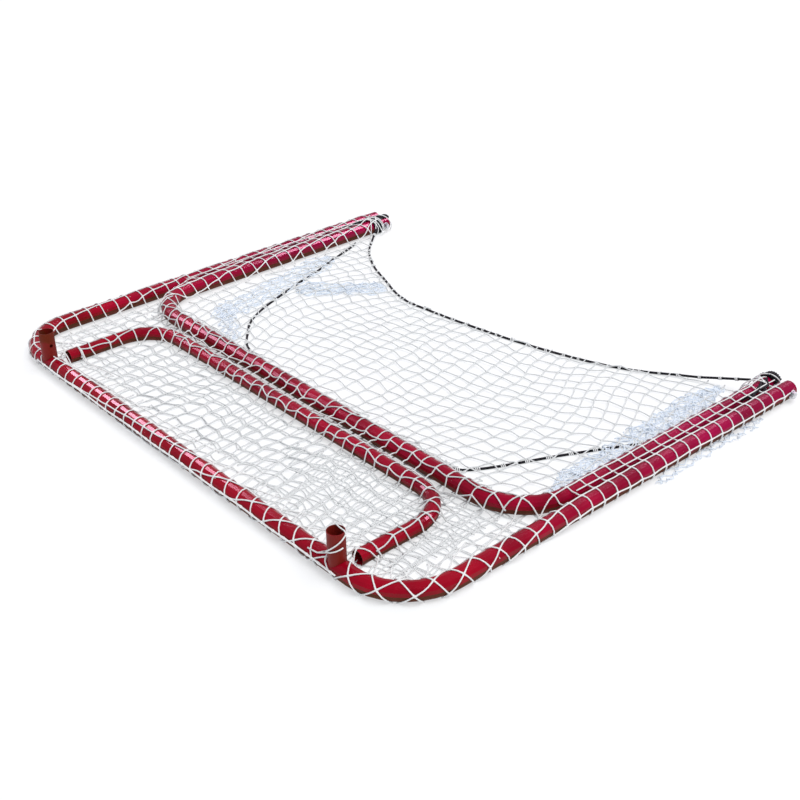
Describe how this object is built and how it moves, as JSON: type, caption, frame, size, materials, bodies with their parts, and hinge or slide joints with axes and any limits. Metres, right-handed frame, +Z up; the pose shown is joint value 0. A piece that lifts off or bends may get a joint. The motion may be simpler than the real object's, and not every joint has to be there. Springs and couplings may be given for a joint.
{
  "type": "hockey goal net",
  "caption": "Folding tubular steel hockey goal lying folded flat, with hinged base frame, plug-in top frame, white netting and black draw ropes.",
  "frame": {"origin": "on the floor, under the middle of the folded goal's bounding box", "axes": "+X along the crossbar, +Y from the crossbar to the feet of the posts, +Z up, out of the folded goal's mouth plane towards its back"},
  "size_m": [1.464, 1.1606, 0.0988],
  "materials": {
    "red_paint": "gloss powder coat",
    "zinc_steel": "zinc plated",
    "black_rope": "braided cord",
    "white_netting": "knotted twine"
  },
  "bodies": {
    "front_frame": {"front_frame": "red_paint", "socket_left": "red_paint", "socket_right": "red_paint", "hinge_bolt_left": "zinc_steel", "hinge_bolt_right": "zinc_steel", "hinge_nut_left": "zinc_steel", "hinge_nut_right": "zinc_steel", "hinge_washer_outer_left": "zinc_steel", "hinge_washer_outer_right": "zinc_steel", "hinge_washer_inner_left": "zinc_steel", "hinge_washer_inner_right": "zinc_steel", "hinge_spacer_left": "zinc_steel", "hinge_spacer_right": "zinc_steel"},
    "base_frame": {"base_frame": "red_paint", "net_back_panel": "white_netting", "rope_upper": "black_rope", "rope_lower_left": "black_rope", "rope_lower_right": "black_rope", "rope_lashing_left": "black_rope", "rope_lashing_right": "black_rope"},
    "net_lacing": {"net_lacing": "white_netting"},
    "top_frame": {"top_frame": "red_paint", "net_top_panel": "white_netting", "snap_spring_left": "zinc_steel", "snap_spring_right": "zinc_steel"},
    "snap_button_left": {"snap_button_left": "zinc_steel"},
    "snap_button_right": {"snap_button_right": "zinc_steel"}
  },
  "joints": [
    {"name": "base_fold", "type": "hinge", "parent": "front_frame", "child": "base_frame", "pos_m": [0, 0.5612, 0.01905], "axis": [-1, 0, 0], "range_deg": [0, 90]},
    {"name": "top_plug", "type": "slide", "parent": "front_frame", "child": "net_lacing", "axis": [0, 0, -1], "range_m": [0, 0.073]},
    {"name": "top_swing", "type": "hinge", "parent": "net_lacing", "child": "top_frame", "pos_m": [0, -0.58311, 0.04259], "axis": [1, 0, 0], "range_deg": [0, 90]},
    {"name": "snap_left", "type": "slide", "parent": "top_frame", "child": "snap_button_left", "axis": [-1, 0, 0], "range_m": [0, 0.005], "stiffness_N_per_m": 900, "springref_m": -0.002},
    {"name": "snap_right", "type": "slide", "parent": "top_frame", "child": "snap_button_right", "axis": [1, 0, 0], "range_m": [0, 0.005], "stiffness_N_per_m": 900, "springref_m": -0.002}
  ]
}
